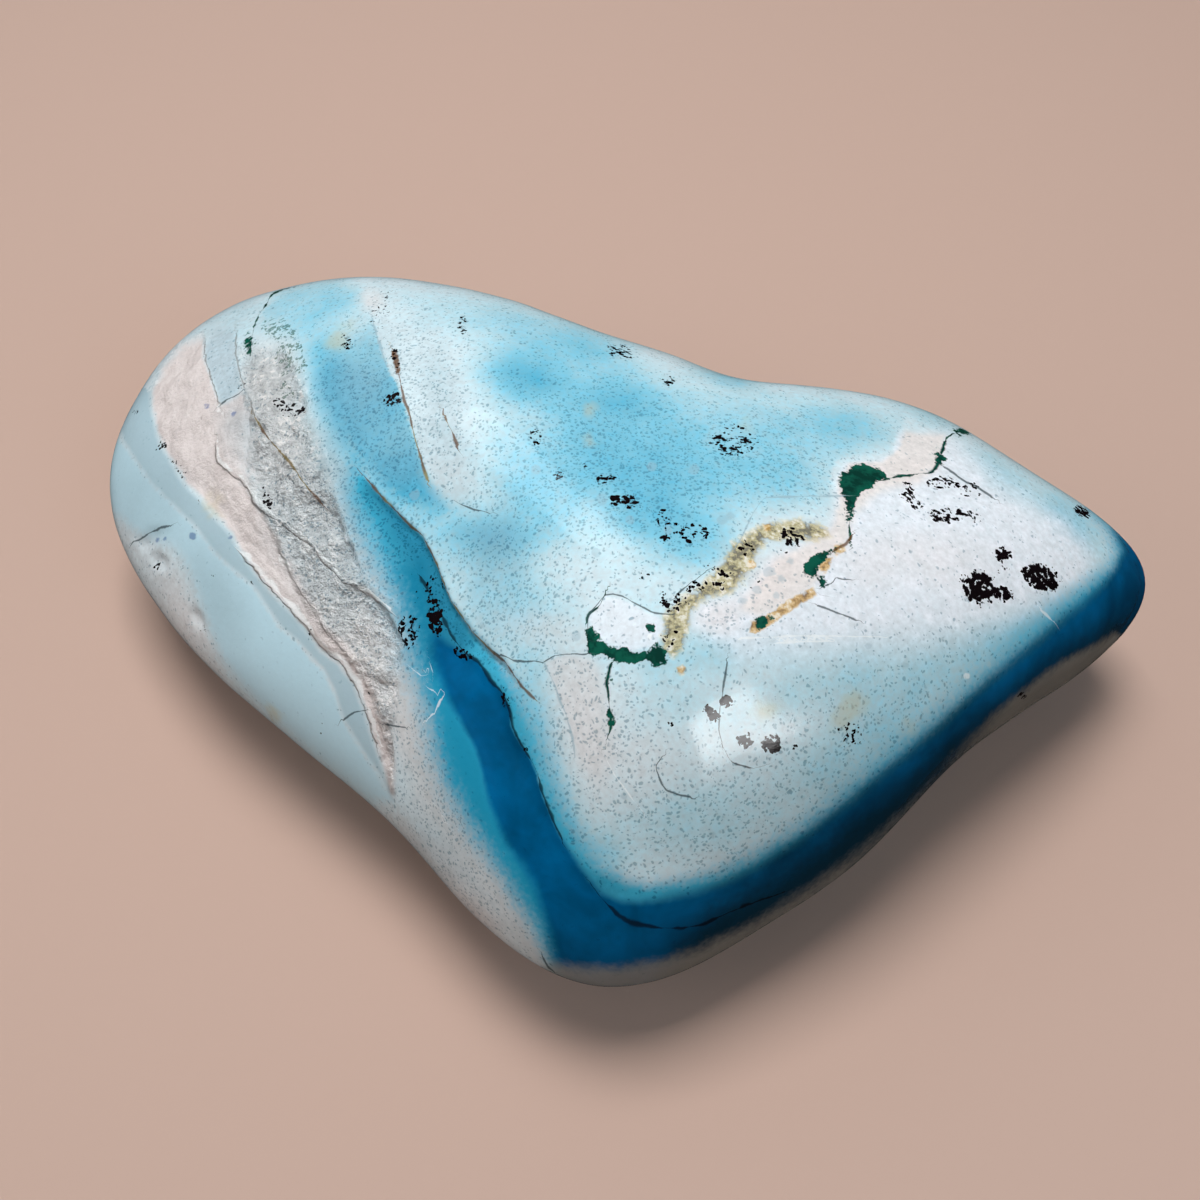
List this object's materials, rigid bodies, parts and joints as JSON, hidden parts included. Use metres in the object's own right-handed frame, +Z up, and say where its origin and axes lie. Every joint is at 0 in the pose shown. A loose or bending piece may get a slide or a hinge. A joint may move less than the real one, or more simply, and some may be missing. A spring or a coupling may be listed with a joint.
{
  "type": "polished chrysocolla freeform stone",
  "caption": "Palm-sized polished freeform stone of banded blue chrysocolla, resting on a small flat face, with a ridged top, a shallow dish, a broad plateau and a waisted front side.",
  "frame": {"origin": "middle of the stone's bounding box, on the plane it rests on", "axes": "+X along the long side towards the narrow end, +Z up from the resting face, -Y towards the side with the deep blue band"},
  "size_m": [0.1052, 0.0779, 0.0351],
  "materials": {
    "stone": "polished, banded pale, turquoise and deep blue, with green and ochre veins and a dull rough band"
  },
  "bodies": {
    "root": {"stone": "stone"}
  },
  "joints": []
}
